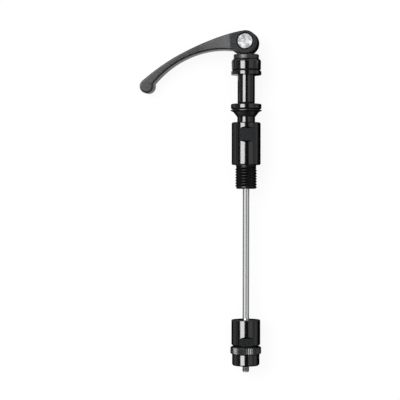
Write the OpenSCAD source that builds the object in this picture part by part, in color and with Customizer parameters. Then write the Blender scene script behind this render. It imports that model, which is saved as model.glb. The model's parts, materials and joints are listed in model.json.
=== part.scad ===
// Quick-release axle adapter for a 12 mm dropout and a 15 mm threaded frame end.
// A steel rod carries a cam lever, a spacer sleeve, a threaded adapter body, a plain
// clamping body and a knurled nut. The whole stack lies on its side, with the rod along Y,
// the lever end at +Y and the lever at -X. The origin is on the rod's axis, where the full
// thread of the adapter body begins. Each piece is first drawn upright along Z, with its
// heights counted from the shoulder behind that thread.

/* [Skewer rod] */
// Diameter of the plain shank
rod_d = 4.5; // [4:0.1:4.8]
// Outside diameter of the threaded ends
rod_thread_d = 4.9; // [4.8:0.05:5]
// Length of the thread at the nut end
rod_thread_len = 27; // [24:1:40]
// Length of thread that shows below the nut
rod_tail = 4.6; // [2:0.2:10]
// Diameter of the hole in every piece strung on the rod
strung_bore_d = 5.3; // [5.2:0.1:6.5]

/* [Adapter body] */
// Diameter of the bar that the adapter body is turned from
body_d = 20.1; // [19:0.1:24]
// Length of the full-diameter part
body_len = 29.4; // [24:0.2:40]
// Distance across the wrench flats
body_flats = 17.8; // [16.5:0.1:18.4]
// Length of the adapter body's flats
body_flat_len = 9.6; // [7:0.2:14]
// Distance from the thread's shoulder to the flats
body_flat_from = 16.1; // [4:0.1:16.5]
// Turn of the flats about the rod, seen from above the lever
body_turn = 6; // [-30:1:30]
// Outside diameter of the threaded end
spigot_d = 14.9; // [14:0.1:16]
// Length of the threaded end
spigot_len = 16.6; // [10:0.2:24]
// Length of the plain relief behind the thread
relief_len = 1.6; // [0.8:0.1:3]
// Depth of the relief below the thread's crest
relief_depth = 0.9; // [0.4:0.1:1.4]
// Pitch of the threaded end, cut here as rings
spigot_pitch = 1.9; // [1.2:0.1:2.4]
// Depth of that thread
spigot_cut = 0.8; // [0.4:0.05:1]
// Diameter of the neck above the body
neck_d = 12.3; // [11.6:0.1:13]
// Length of the neck that shows
neck_len = 3.9; // [2:0.1:8]

/* [Cone ring and flange disk] */
// Diameter of the seat that holds the ring and the disk
seat_d = 10.8; // [9:0.1:11]
// Diameter of the thin lip of the cone ring
cone_lip_d = 21.6; // [21:0.1:26]
// Height of the cone ring
cone_len = 4.7; // [4:0.1:8]
// Thickness of the lip at its edge
cone_lip_t = 0.5; // [0.3:0.1:0.9]
// Diameter of the flange disk
disk_d = 21.2; // [19:0.1:25]
// Thickness of the flange disk
disk_len = 3.4; // [2.5:0.1:6]
// Height of the narrower step under the disk
disk_step_len = 0.8; // [0.4:0.1:2]
// Width of that step's ledge under the rim
disk_ledge = 0.65; // [0.3:0.05:1]
// Radius of the disk's rounded edge
disk_round = 1.1; // [0.3:0.1:1.2]

/* [Spacer sleeve and cap] */
// Outside diameter of the sleeve, the size of the axle
sleeve_d = 12; // [11:0.1:13]
// Length of the sleeve between the disk and the washer
sleeve_len = 20.1; // [12:0.1:40]
// Depth of the sleeve's seat in the washer
sleeve_seat = 1.2; // [0.8:0.1:2]
// Diameter of the sleeve's end in that seat
sleeve_seat_d = 11.4; // [10:0.1:11.6]
// Diameter of the clamping washer under the cap
washer_d = 21; // [18:0.1:24]
// Thickness of the clamping washer
washer_len = 3.5; // [2.5:0.1:6]
// Diameter of the cap at its lower end
cap_d = 20.2; // [19.6:0.1:23]
// Narrowing of the cap's diameter towards its top
cap_taper = 0.3; // [0:0.1:0.6]
// Height of the cap
cap_len = 7.4; // [5:0.1:12]
// Height of the undercut that shows as a dark seam at the cap's foot
seam_len = 0.6; // [0.3:0.1:1]
// Depth of that undercut
seam_depth = 0.9; // [0.4:0.1:1.4]
// Rounding of the cap's upper edge
cap_round = 0.9; // [0.3:0.1:0.9]
// Diameter of the saddle above the cap
saddle_d = 17.6; // [15:0.1:17.8]
// Height of the saddle above the cap
saddle_len = 3; // [2.4:0.1:6]
// Diameter of the saddle's boss inside the cap
saddle_boss_d = 12; // [9:0.1:14]
// Length of the saddle's boss inside the cap
saddle_boss_len = 3; // [1.5:0.1:4]
// Depth of the groove that the cam bears in
saddle_groove = 0.6; // [0.3:0.1:0.9]

/* [Cam lever] */
// Diameter of the cross pin
pin_d = 10.7; // [9:0.1:11]
// Wall of the bushes around the cross pin
bush_wall = 0.7; // [0.5:0.1:0.9]
// Radius of the cam
cam_r = 8.35; // [8:0.05:10]
// Offset of the cam from the cross pin, half of its stroke
cam_offset = 0.9; // [0.4:0.05:1]
// Thickness of the forked head, along the cross pin
head_t = 12.5; // [11.5:0.1:16]
// Width of the slot that the rod stands in
slot_w = 5.9; // [5.6:0.1:7]
// Distance from the cross pin to the middle of the lever's tip, across the rod
arm_reach = 71; // [55:0.2:95]
// Drop of the lever's tip below the cross pin
arm_drop = 29.8; // [15:0.2:45]
// Thickness of the arm along the cross pin, in its middle
arm_t = 10; // [8:0.1:11]
// Height of the arm where it is slimmest
arm_h = 3.9; // [3:0.1:6]
// Radius of the rolled tip
tip_r = 4.4; // [3.4:0.1:6]
// Thickness of the tip along the cross pin
tip_t = 9.4; // [7:0.1:10]
// Radius of the arm's rounded edges
arm_round = 1.1; // [0.5:0.1:1.3]

/* [Clamping body and nut] */
// Free length of rod between the adapter's thread and the clamping body
free_len = 90.8; // [60:0.2:130]
// Diameter of the clamping body
lower_d = 20; // [19:0.1:21]
// Length of the clamping body
lower_len = 17.8; // [14:0.2:30]
// Distance across the clamping body's flats
lower_flats = 17.7; // [16.5:0.1:18.4]
// Length of its wrench flats, from its lower end
lower_flat_len = 5.4; // [4:0.1:10]
// Turn of the clamping body's flats about the rod
lower_turn = 12; // [-30:1:30]
// Diameter of the washer above the nut
nut_washer_d = 17; // [14:0.1:19]
// Thickness of the washer above the nut
nut_washer_len = 0.5; // [0.4:0.1:1.5]
// Diameter of the knurled ring
knurl_d = 21.4; // [20.4:0.1:24]
// Length of the knurled ring
knurl_len = 5.2; // [4:0.1:9]
// Number of teeth in the knurl
knurl_teeth = 54; // [36:2:72]
// Depth of the knurl
knurl_depth = 0.35; // [0.2:0.05:0.5]
// Rounding of the knurled ring's edges
knurl_round = 1.1; // [0.4:0.1:1.4]
// Diameter of the nut below the ring
nut_d = 19; // [17:0.1:20.2]
// Length of the nut below the ring
nut_len = 7.9; // [6:0.1:12]
// Diameter of the nut's neck inside the knurled ring
nut_neck_d = 14.5; // [11:0.1:15.5]
// Diameter of the plastic locking insert in the nut
insert_d = 9; // [7.6:0.1:11]
// Length of the plastic locking insert
insert_len = 2.6; // [1.6:0.1:4]

/* [Fits] */
// Gap between flat faces of pieces that move apart
face_gap = 0.1; // [0.05:0.05:0.2]
// Gap between the cam and its groove
cam_gap = 0.35; // [0.3:0.05:0.5]
// Radial clearance of a piece that turns or slides on a fit
run_gap = 0.05; // [0.02:0.01:0.1]
// Chamfer on turned edges
chamfer = 0.6; // [0.2:0.1:0.8]
// Thickness of the rubber rings that grip the rod
ring_cord = 1.3; // [0.8:0.1:1.6]

/* [Hidden] */

// Colours
anodised = [0.07, 0.075, 0.08];
painted = [0.15, 0.16, 0.17];
steel = [0.78, 0.79, 0.8];
rubber = [0.1, 0.1, 0.1];

// Heights along the rod, upwards from the thread's shoulder
cap_gap = 0.2;
cone_z = body_len + neck_len;
disk_z = cone_z + cone_len;
sleeve_z = disk_z + disk_step_len + disk_len + face_gap;
washer_z = sleeve_z + sleeve_len;
cap_z = washer_z + washer_len + cap_gap;
saddle_z = cap_z + cap_len;
groove_z = saddle_z + saddle_len - saddle_groove;
pin_z = groove_z + cam_gap + cam_r + cam_offset;

// Heights along the rod, downwards from the thread's shoulder
lower_z = -spigot_len - free_len;
nut_washer_z = lower_z - lower_len - face_gap;
knurl_z = nut_washer_z - nut_washer_len - face_gap;
nut_z = knurl_z - knurl_len;
nut_end_z = nut_z - nut_len;
rod_end_z = nut_end_z - rod_tail;

// Middle of each rubber ring
ring_depth = 3;
ring_seat_z = -spigot_len + ring_depth;
lower_ring_z = lower_z - ring_depth;

// Head of the lever: its heel blends the cam into the underside of the arm
bush_r = pin_d / 2 + bush_wall;
bush_inset = 0.2;
pin_inset = 0.1;
heel_r = 3;
heel_out = 7.1;
heel_angle = 52;
groove_r = cam_r + 2.4;
head_facets = 40;

// Arm of the lever: a rounded strap swept along one curve, from the head to the tip.
// Its start lies inside the head, a little to the tip's side of the cross pin. The cheeks
// stay level with the head's faces up to taper_start, and draw in as far as taper_end.
// Its upper edge runs into the round of the tip, tip_sink below the round's crown.
arm_start = [-3, 0.4];
arm_flat_len = 25.4;
arm_hook_len = 27.5;
arm_hook_angle = 40;
arm_root_h = 13.5;
root_end = 0.62;
tip_flare = 0.5;
tip_sink = 0.1;
tip_rise = tip_r - arm_h / 2 - tip_flare - tip_sink;
arm_end = [-arm_reach - tip_rise * sin(arm_hook_angle),
    -arm_drop + tip_rise * cos(arm_hook_angle)];
taper_start = 0.1;
taper_end = 0.42;
cheek_step = 0.04;
arm_stations = 26;
corner_steps = 4;

// The lever leans until its tip lies as low as the stack's widest rings
rest_r = max(cone_lip_d, knurl_d, disk_d) / 2;
lever_roll = asin((rest_r - tip_t / 2) / (arm_reach + tip_r / 2));

// Point, slope and size of the arm at t, from 0 at the head to 1 at the tip
function curve(a, b, c, d, t) =
    pow(1 - t, 3) * a + 3 * t * pow(1 - t, 2) * b + 3 * t * t * (1 - t) * c + t * t * t * d;
function curve_slope(a, b, c, d, t) =
    pow(1 - t, 2) * (b - a) + 2 * t * (1 - t) * (c - b) + t * t * (d - c);
arm_lead = arm_start + [-arm_flat_len, 0];
arm_hook = arm_end + arm_hook_len * [cos(arm_hook_angle), sin(arm_hook_angle)];
function arm_point(t) = curve(arm_start, arm_lead, arm_hook, arm_end, t);
function arm_normal(t) =
    let (s = curve_slope(arm_start, arm_lead, arm_hook, arm_end, t)) [-s.y, s.x] / norm(s);
function arm_half_h(t) =
    arm_h / 2 + (arm_root_h - arm_h) / 2 * pow(max(0, 1 - t / root_end), 2.1)
    + tip_flare * pow(t, 6);
function arm_half_t(t) =
    arm_t / 2 + (tip_t - arm_t) / 2 * pow(t, 3)
    + (head_t / 2 - cheek_step - arm_t / 2)
        * pow(min(1, max(0, (taper_end - t) / (taper_end - taper_start))), 1.6);

// Corners of the arm's section, as [along the pin, across the arm], going round once
function strap(half_t, half_h, r) = [
    for (q = [0:3], k = [0:corner_steps])
        let (a = 90 * q + 90 * k / corner_steps,
            sx = q == 0 || q == 3 ? 1 : -1,
            sy = q < 2 ? 1 : -1)
            [sx * (half_t - r) + r * cos(a), sy * (half_h - r) + r * sin(a)]
];

// Lays the upright stack on its side, with the origin where the full thread begins
thread_z = -relief_len - relief_depth;
module laid() {
    rotate([-90, 0, 0]) translate([0, 0, -thread_z]) children();
}

// The same for what is lined up with the lever
module leaned() {
    laid() rotate([0, 0, -lever_roll]) children();
}

// Turned piece from its half section
module turned(section) {
    rotate_extrude($fn = 96) polygon(section);
}

// Ring with chamfered edges, from z upwards
module ring(z, len, d, bore, bottom = 0, top = 0) {
    translate([0, 0, z]) turned([
        [bore / 2, 0], [d / 2 - bottom, 0], [d / 2, bottom],
        [d / 2, len - top], [d / 2 - top, len], [bore / 2, len]
    ]);
}

// Short shaft across the stack, about the cross pin's axis
module across(r, from, to) {
    translate([0, 0, pin_z]) rotate([-90, 0, 0]) translate([0, 0, from])
        cylinder(r = r, h = to - from, $fn = 96);
}

// Pair of milled wrench flats; their end walls slope out to the surface
module flats_cut(across_flats, d, from, to) {
    depth = (d - across_flats) / 2;
    ramp = 0.9 * depth;
    for (side = [0, 180])
        rotate([0, 0, side]) translate([0, -across_flats / 2, 0]) rotate([90, 0, 90])
            linear_extrude(height = d, center = true)
                polygon([
                    [0, from], [0, to],
                    [-2 * depth, to + 2 * ramp], [-2 * depth, from - 2 * ramp]
                ]);
}

// Disc with chamfered faces, lying across the stack at [x, z] from the cross pin
module head_disc(x, z, r) {
    translate([x, 0, pin_z + z]) rotate([90, 0, 0]) {
        cylinder(r = r, h = head_t - 2 * chamfer, center = true, $fn = head_facets);
        cylinder(r = r - chamfer, h = head_t, center = true, $fn = head_facets);
    }
}

module arm_sweep() {
    n = 4 * (corner_steps + 1);
    points = [
        for (i = [0:arm_stations])
            let (t = i / arm_stations, p = arm_point(t), v = arm_normal(t))
                for (c = strap(arm_half_t(t), arm_half_h(t), arm_round))
                    [p.x + v.x * c.y, c.x, pin_z + p.y + v.y * c.y]
    ];
    sides = [
        for (i = [0:arm_stations - 1], k = [0:n - 1])
            let (a = i * n + k, b = i * n + (k + 1) % n)
                each [[a, b + n, b], [a, a + n, b + n]]
    ];
    start = [for (k = [0:n - 1]) k];
    end = [for (k = [n - 1:-1:0]) arm_stations * n + k];
    polyhedron(points = points, faces = concat([start], sides, [end]), convexity = 4);
}

module lever_tip() {
    half = tip_t / 2;
    corner = [for (k = [0:corner_steps])
        let (a = 90 * k / corner_steps)
            [tip_r - arm_round + arm_round * cos(a), half - arm_round + arm_round * sin(a)]];
    mirrored = [for (k = [corner_steps:-1:0]) [corner[k].x, -corner[k].y]];
    translate([-arm_reach, 0, pin_z - arm_drop]) rotate([90, 0, 0])
        turned(concat([[0, -half]], mirrored, corner, [[0, half]]));
}

// Lever: forked cam head, swept arm and rolled tip, cast in one
module lever() {
    reach = 2 * cam_r;
    color(painted) leaned() difference() {
        union() {
            hull() {
                head_disc(0, -cam_offset, cam_r);
                head_disc(-heel_out * sin(heel_angle),
                    -cam_offset - heel_out * cos(heel_angle), heel_r);
            }
            arm_sweep();
            lever_tip();
        }
        across(bush_r, -head_t, head_t);
        translate([reach / 2 - rod_thread_d / 2 - cam_gap, 0, pin_z])
            cube([reach, slot_w, 2 * reach], center = true);
    }
}

// Bush pressed into one cheek of the head; side is -1 near, 1 far
module pin_bush(side) {
    inner = slot_w / 2;
    outer = head_t / 2 - bush_inset;
    color(rubber) leaned() difference() {
        across(bush_r, min(side * inner, side * outer), max(side * inner, side * outer));
        across(pin_d / 2 + run_gap, -head_t, head_t);
    }
}

// Cross pin: turned faces, tapped through for the rod
module cross_pin() {
    half = head_t / 2 - pin_inset;
    edge = 0.3;
    dish = 0.15;
    color(steel) leaned() difference() {
        translate([0, 0, pin_z]) rotate([90, 0, 0]) turned([
            [0, -half + dish], [pin_d / 4, -half], [pin_d / 2 - edge, -half],
            [pin_d / 2, -half + edge], [pin_d / 2, half - edge],
            [pin_d / 2 - edge, half], [pin_d / 4, half], [0, half - dish]
        ]);
        cylinder(d = rod_thread_d, h = pin_z + pin_d / 4, $fn = 96);
    }
}

// Rod: plain shank, rolled thread at both ends, chamfered tail
module skewer_rod() {
    top = pin_z + pin_d / 4;
    thread_top = pin_z - pin_d / 2 - chamfer;
    r = rod_d / 2;
    rt = rod_thread_d / 2;
    step = rt - r;
    tail_chamfer = 0.7;
    color(steel) leaned() turned([
        [0, rod_end_z], [rt - tail_chamfer, rod_end_z], [rt, rod_end_z + tail_chamfer],
        [rt, rod_end_z + rod_thread_len], [r, rod_end_z + rod_thread_len + step],
        [r, thread_top - step], [rt, thread_top], [rt, top], [0, top]
    ]);
}

// Bearing block that the cam rolls on, with a boss in the cap
module cam_saddle() {
    color(anodised) leaned() difference() {
        union() {
            ring(saddle_z, saddle_len, saddle_d, strung_bore_d, 0, chamfer / 2);
            ring(saddle_z - saddle_boss_len, saddle_boss_len, saddle_boss_d, strung_bore_d);
        }
        translate([0, 0, groove_z + groove_r]) rotate([90, 0, 0])
            cylinder(r = groove_r, h = 2 * saddle_d, center = true, $fn = 96);
    }
}

// Cap: a shallow cone with an undercut foot, a rounded shoulder and a pocket for the saddle
module cam_cap() {
    top_r = (cap_d - cap_taper) / 2;
    rim = [for (k = [0:corner_steps])
        let (a = 90 * k / corner_steps)
            [top_r - cap_round * (1 - cos(a)), cap_len - cap_round * (1 - sin(a))]];
    color(anodised) leaned() difference() {
        translate([0, 0, cap_z]) turned(concat(
            [[strung_bore_d / 2, 0], [cap_d / 2 - seam_depth, 0],
                [cap_d / 2 - seam_depth, seam_len], [cap_d / 2, seam_len]],
            rim, [[strung_bore_d / 2, cap_len]]
        ));
        translate([0, 0, saddle_z - saddle_boss_len])
            cylinder(d = saddle_boss_d, h = cap_len, $fn = 96);
    }
}

// Washer that clamps the dropout, with a countersunk seat for the sleeve below
module cap_washer() {
    mouth_r = sleeve_d / 2 + run_gap;
    seat_r = sleeve_seat_d / 2 + run_gap;
    color(anodised) laid() difference() {
        ring(washer_z, washer_len, washer_d, strung_bore_d, chamfer / 3, chamfer / 3);
        translate([0, 0, washer_z]) turned([
            [0, -washer_len], [mouth_r, -washer_len], [mouth_r, 0],
            [seat_r, mouth_r - seat_r], [seat_r, sleeve_seat], [0, sleeve_seat]
        ]);
    }
}

// Sleeve that fills the dropout's hole, with its narrower upper end in the washer
module spacer_sleeve() {
    r = sleeve_d / 2;
    seat_r = sleeve_seat_d / 2;
    step_z = sleeve_len - face_gap;
    top = sleeve_len + sleeve_seat;
    color(anodised) laid() translate([0, 0, sleeve_z]) turned([
        [strung_bore_d / 2, 0], [r - chamfer / 2, 0], [r, chamfer / 2],
        [r, step_z], [seat_r, step_z + r - seat_r], [seat_r, top], [strung_bore_d / 2, top]
    ]);
}

// Round lock nut with a rounded rim, a narrower step below, and a countersunk bore that
// leaves the sleeve's end clear
module flange_disk() {
    step_r = disk_d / 2 - disk_ledge;
    r = disk_d / 2 - disk_round;
    low = disk_step_len + disk_round;
    top = disk_step_len + disk_len;
    high = top - disk_round;
    sink_r = sleeve_d / 2 + run_gap;
    low_rim = [for (k = [0:corner_steps])
        let (a = -90 + 90 * k / corner_steps) [r + disk_round * cos(a), low + disk_round * sin(a)]];
    high_rim = [for (k = [0:corner_steps])
        let (a = 90 * k / corner_steps) [r + disk_round * cos(a), high + disk_round * sin(a)]];
    color(anodised) laid() translate([0, 0, disk_z]) turned(concat(
        [[seat_d / 2, 0], [step_r, 0], [step_r, disk_step_len]],
        low_rim, high_rim, [[sink_r, top], [seat_d / 2, top - (sink_r - seat_d / 2)]]
    ));
}

// Centring cone with a thin lip, seated on the neck's shoulder
module cone_ring() {
    lip_r = cone_lip_d / 2;
    brim_z = cone_len - cone_lip_t;
    edge = cone_lip_t / 3;
    brim_w = 1.9;
    brim_drop = 0.9;
    color(anodised) laid() translate([0, 0, cone_z]) turned([
        [seat_d / 2, 0], [neck_d / 2 + edge, 0], [lip_r - brim_w, brim_z - brim_drop],
        [lip_r, brim_z], [lip_r, cone_len - edge], [lip_r - edge, cone_len],
        [seat_d / 2, cone_len]
    ]);
}

// Rings cut in the threaded end at the pitch of its thread
module spigot_rings() {
    rs = spigot_d / 2;
    count = ceil((spigot_len + thread_z) / spigot_pitch);
    mouth = 0.4 * spigot_pitch;
    root = 0.07 * spigot_pitch;
    for (i = [0:count - 1])
        translate([0, 0, thread_z - (i + 0.5) * spigot_pitch]) turned([
            [rs - spigot_cut, -root], [rs + spigot_cut, -mouth - (mouth - root)],
            [rs + spigot_cut, mouth + (mouth - root)], [rs - spigot_cut, root]
        ]);
}

// Adapter body: neck and seat above, wrench flats, threaded end below
module adapter_body() {
    r = body_d / 2;
    rs = spigot_d / 2;
    rr = rs - relief_depth;
    seat_top = disk_z + disk_step_len + disk_len - (sleeve_d - seat_d) / 2 - face_gap;
    groove_d = strung_bore_d + 2 * ring_cord;
    color(anodised) laid() difference() {
        rotate([0, 0, body_turn]) difference() {
            turned([
                [strung_bore_d / 2, -spigot_len], [rs - 2 * chamfer, -spigot_len],
                [rs, -spigot_len + 2 * chamfer], [rs, thread_z],
                [rr, -relief_len], [rr, 0], [r - chamfer, 0], [r, chamfer],
                [r, body_len - chamfer], [r - chamfer, body_len], [neck_d / 2, body_len],
                [neck_d / 2, cone_z], [seat_d / 2, cone_z], [seat_d / 2, seat_top],
                [strung_bore_d / 2, seat_top]
            ]);
            flats_cut(body_flats, body_d, body_flat_from, body_flat_from + body_flat_len);
        }
        grip_groove(ring_seat_z, groove_d);
        spigot_rings();
    }
}

// Groove for a rubber ring in a bore
module grip_groove(z, d) {
    translate([0, 0, z]) cylinder(d = d, h = ring_cord, center = true, $fn = 96);
}

// Rubber ring that keeps a strung piece where it is put on the rod
module grip_ring(z, bore) {
    inner = bore / 2;
    outer = strung_bore_d / 2 + ring_cord;
    half = ring_cord / 2;
    bevel = ring_cord / 4;
    turned([
        [inner, z - half + bevel], [inner + bevel, z - half], [outer - bevel, z - half],
        [outer, z - half + bevel], [outer, z + half - bevel], [outer - bevel, z + half],
        [inner + bevel, z + half], [inner, z + half - bevel]
    ]);
}

module adapter_o_ring() {
    color(rubber) laid() grip_ring(ring_seat_z, rod_d + 2 * run_gap);
}

// Clamping body: plain bar with wrench flats that run out at its lower end
module lower_body() {
    r = lower_d / 2;
    low = lower_z - lower_len;
    groove_d = strung_bore_d + 2 * ring_cord;
    color(anodised) laid() difference() {
        rotate([0, 0, lower_turn]) difference() {
            turned([
                [strung_bore_d / 2, low], [r - 1.5 * chamfer, low], [r, low + 1.5 * chamfer],
                [r, lower_z - chamfer / 2], [r - chamfer / 2, lower_z],
                [strung_bore_d / 2 + chamfer, lower_z], [strung_bore_d / 2, lower_z - chamfer]
            ]);
            flats_cut(lower_flats, lower_d, low - lower_len, low + lower_flat_len);
        }
        grip_groove(lower_ring_z, groove_d);
    }
}

module lower_o_ring() {
    color(rubber) laid() grip_ring(lower_ring_z, rod_thread_d + 2 * run_gap);
}

module nut_washer() {
    color(steel) laid()
        ring(nut_washer_z - nut_washer_len, nut_washer_len, nut_washer_d, strung_bore_d);
}

// Grip ring with a straight knurl and rounded edges, pressed on the nut's neck
module knurled_ring() {
    r = knurl_d / 2;
    e = knurl_round;
    rim = [for (k = [0:corner_steps])
        let (a = 90 * k / corner_steps) [r - e + e * cos(a), knurl_len - e + e * sin(a)]];
    under = [for (k = [corner_steps:-1:0]) [rim[k].x, knurl_len - rim[k].y]];
    teeth = [for (i = [0:knurl_teeth - 1])
        let (a = 360 * i / knurl_teeth, b = a + 180 / knurl_teeth)
            each [[r * cos(a), r * sin(a)],
                [(r - knurl_depth) * cos(b), (r - knurl_depth) * sin(b)]]];
    color(anodised) laid() translate([0, 0, nut_z]) difference() {
        intersection() {
            turned(concat([[0, 0]], under, rim, [[0, knurl_len]]));
            linear_extrude(height = knurl_len) polygon(teeth);
        }
        translate([0, 0, -1]) cylinder(d = nut_neck_d, h = knurl_len + 2, $fn = 96);
    }
}

// Nut: neck inside the knurled ring, round end below, tapped for the rod
module nut_body() {
    bore = rod_thread_d + 2 * run_gap;
    neck_r = nut_neck_d / 2;
    r = nut_d / 2;
    low_chamfer = 1.4 * chamfer;
    color(anodised) laid() difference() {
        turned([
            [bore / 2, nut_end_z], [r - low_chamfer, nut_end_z], [r, nut_end_z + low_chamfer],
            [r, nut_z - chamfer / 2], [r - chamfer / 2, nut_z], [neck_r, nut_z],
            [neck_r, knurl_z], [bore / 2, knurl_z]
        ]);
        translate([0, 0, nut_end_z + insert_len / 2])
            cylinder(d = insert_d, h = insert_len, center = true, $fn = 96);
    }
}

module nut_insert() {
    inset = 0.2;
    color(rubber) laid()
        ring(nut_end_z + inset, insert_len - inset, insert_d, rod_thread_d + 2 * run_gap);
}

lever();
pin_bush(-1);  // pin_bush_near
pin_bush(1);  // pin_bush_far
cross_pin();
skewer_rod();
cam_saddle();
cam_cap();
cap_washer();
spacer_sleeve();
flange_disk();
cone_ring();
adapter_body();
adapter_o_ring();
lower_body();
lower_o_ring();
nut_washer();
knurled_ring();
nut_body();
nut_insert();
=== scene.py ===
"""Looks of the quick-release thru axle adapter: a cam lever, a sleeve, a threaded adapter body,
a clamping body and a knurled nut on a long steel rod. Lengths on the part are in millimetres,
and MM turns them into metres. The floor, the cards and the lamps are laid out in metres, as is
every value whose name ends in _M or _m."""
import json
import math

import bmesh
import bpy
from mathutils import Matrix, Vector


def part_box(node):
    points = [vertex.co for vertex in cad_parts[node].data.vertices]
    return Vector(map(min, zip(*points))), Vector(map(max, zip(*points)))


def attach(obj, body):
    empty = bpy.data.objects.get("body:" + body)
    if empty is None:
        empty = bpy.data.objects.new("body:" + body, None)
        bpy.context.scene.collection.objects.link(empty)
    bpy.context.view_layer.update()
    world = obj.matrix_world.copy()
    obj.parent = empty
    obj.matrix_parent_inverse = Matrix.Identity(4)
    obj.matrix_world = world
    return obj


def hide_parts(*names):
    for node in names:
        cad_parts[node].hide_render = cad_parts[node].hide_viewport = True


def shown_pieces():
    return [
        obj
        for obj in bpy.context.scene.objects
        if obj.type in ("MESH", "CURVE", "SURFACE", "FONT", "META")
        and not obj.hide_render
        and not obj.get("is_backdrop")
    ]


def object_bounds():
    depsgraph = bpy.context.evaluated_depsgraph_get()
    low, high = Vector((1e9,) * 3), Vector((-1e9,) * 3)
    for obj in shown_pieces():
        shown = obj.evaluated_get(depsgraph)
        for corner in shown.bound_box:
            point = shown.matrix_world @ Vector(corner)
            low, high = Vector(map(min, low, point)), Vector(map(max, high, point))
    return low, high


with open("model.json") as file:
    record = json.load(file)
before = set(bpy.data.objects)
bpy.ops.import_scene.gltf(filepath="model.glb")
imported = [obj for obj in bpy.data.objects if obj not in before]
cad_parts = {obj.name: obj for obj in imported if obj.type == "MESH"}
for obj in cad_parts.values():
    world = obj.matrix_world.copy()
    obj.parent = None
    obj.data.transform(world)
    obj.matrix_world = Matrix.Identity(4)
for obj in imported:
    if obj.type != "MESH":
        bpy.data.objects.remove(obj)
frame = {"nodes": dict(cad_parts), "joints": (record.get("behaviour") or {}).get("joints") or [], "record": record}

cad_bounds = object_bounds()
nodes = frame["nodes"]
MM = 0.001


def span(node):
    """Lower and upper end of a CAD node along the rod, in millimetres."""
    low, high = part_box(node)
    return low.y / MM, high.y / MM


# Heights along the rod, from where the spigot's full thread begins towards the lever
SPIGOT_END, SEAT_TOP = span("adapter_body")
CLAMP_LOW, CLAMP_TOP = span("lower_body")
ROD_LOW, ROD_TOP = span("skewer_rod")
NECK_TOP = span("cone_ring")[0]
CAP_LOW, CAP_TOP = span("cam_cap")
WASHER_LOW, WASHER_TOP = span("cap_washer")
SLEEVE_LOW, SLEEVE_TOP = span("spacer_sleeve")
DISK_LOW, DISK_TOP = span("flange_disk")
SPIGOT_FULL_END = SPIGOT_END + 0.6
RELIEF_FROM = 1.3
BODY_LOW = 2.5
BODY_TOP = NECK_TOP - 3.9
ROD_THREAD_END = ROD_LOW + 27
ROD_TOP_THREAD_FROM = ROD_TOP - 8.7

# Radii, steps and chamfers of the turned pieces
BORE_R = 2.65
BODY_R = 10.05
CLAMP_R = 10.0
SPIGOT_R = 7.45
RELIEF_R = 7.1
NECK_R = 6.15
SEAT_R = 5.4
SHANK_R = 2.25
CAP_R = 10.1
CAP_SHOULDER_R = 10.3
CAP_SHOULDER_FILLET = 2.1
BOSS_R = 6.02
BOSS_DEPTH = 3
WASHER_R = 10.5
SEAM_R = 9.7
SEAM_LEN = 0.95
SLEEVE_R = 6.0
SLEEVE_SEAT_R = 5.7
SLEEVE_SEAT_DEPTH = 1.2
SEAT_PLAY = 0.05
SEAT_CONE_LEN = 0.3
SEAT_CONE_GAP = 0.1
GROOVE_LEN = 1.05
GROOVE_R = 5.88
DISK_R = 10.6
DISK_RIM_FILLET = 0.7
DISK_BORE_CHAMFER = 0.65
DISK_PLAY = 0.01
STEP_LEN = 0.8
STEP_DEPTH = 1.0
SPIGOT_CHAMFER = 0.5
RELIEF_RAMP = 0.2
BODY_CHAMFER = 0.6
CLAMP_CHAMFER = 0.9
CLAMP_TOP_CHAMFER = 0.3
CLAMP_BORE_CHAMFER = 0.6
ROD_CREST_R = 2.45
ROD_CHAMFER = 0.3
ROD_RUN_OUT = 0.4
ROD_TOP_STEP = 0.2
ROD_TAIL_LEN = 0.8
ROD_TAIL_DEPTH = 0.7

# Margins by which faces are told apart: along the rod, below a shoulder, and inside a rim
MARGIN = 0.01
SHOULDER_MARGIN = 0.05
LEDGE_MARGIN = 0.4

# Wrench flats: size, lower and upper edge, turn round the rod in degrees, slope of the run-out
BODY_ACROSS_FLATS = 17.8
BODY_FLAT = (BODY_LOW + 16.6, BODY_LOW + 25.2)
BODY_FLAT_TURN = 6
BODY_FLAT_SLOPE = 0.95
CLAMP_ACROSS_FLATS = 17.7
CLAMP_FLAT = (CLAMP_LOW - 18, CLAMP_LOW + 5.3)
CLAMP_FLAT_TURN = 7.5
CLAMP_FLAT_SLOPE = 1.2

# Threads: pitch, depth, and the ridge's section as shares of them, along the rod and outward
SPIGOT_PITCH = 1.9
SPIGOT_DEPTH = 0.62
ROD_PITCH = 0.8
ROD_DEPTH = 0.4
RIDGE = ((-0.46, -0.12), (-0.13, 0.9), (-0.06, 1.0), (0.06, 1.0), (0.13, 0.9), (0.46, -0.12))

# Edges that turn by more than this many degrees stay crisp under smooth shading
CREASE_TURNED = 25
CREASE_LEVER = 40
CREASE_THREAD = 50

# Cam lever, in its own plane: u across the rod, v along it, w along the cross pin. Along the arm
# t runs from 0 at the head to 1 at the tip.
CAM_R = 8.35
CAM_OFFSET = 0.9
HEEL_R = 3.0
HEEL_OUT = 7.1
HEEL_ANGLE = 52
HEAD_HALF_T = 6.25
SLOT_HALF_W = 2.95
SLOT_FROM = -2.8
PIN_BORE_R = 6.05
ARM_START = Vector((-3, 0.4))
ARM_LEAD = 25.4
ARM_HOOK = 27.5
ARM_HOOK_ANGLE = 41
ARM_HALF_H = 1.95
ARM_HALF_T = 5.0
ARM_ROOT_HALF_H = 6.75
ARM_ROOT_UNTIL = 0.62
HEAD_THICK_UNTIL = 0.1
ARM_THIN_FROM = 0.42
TIP = Vector((-70.1, -30.1))
TIP_R = 5.0
TIP_HALF_T = 4.7
TIP_FLARE = 0.5
TIP_RISE = TIP_R - ARM_HALF_H - TIP_FLARE
ARM_DRAFT = 0.9
TIP_DRAFT = 2.1
TIP_DRAFT_FROM = 0.6
TIP_DRAFT_RUN = 0.34
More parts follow.
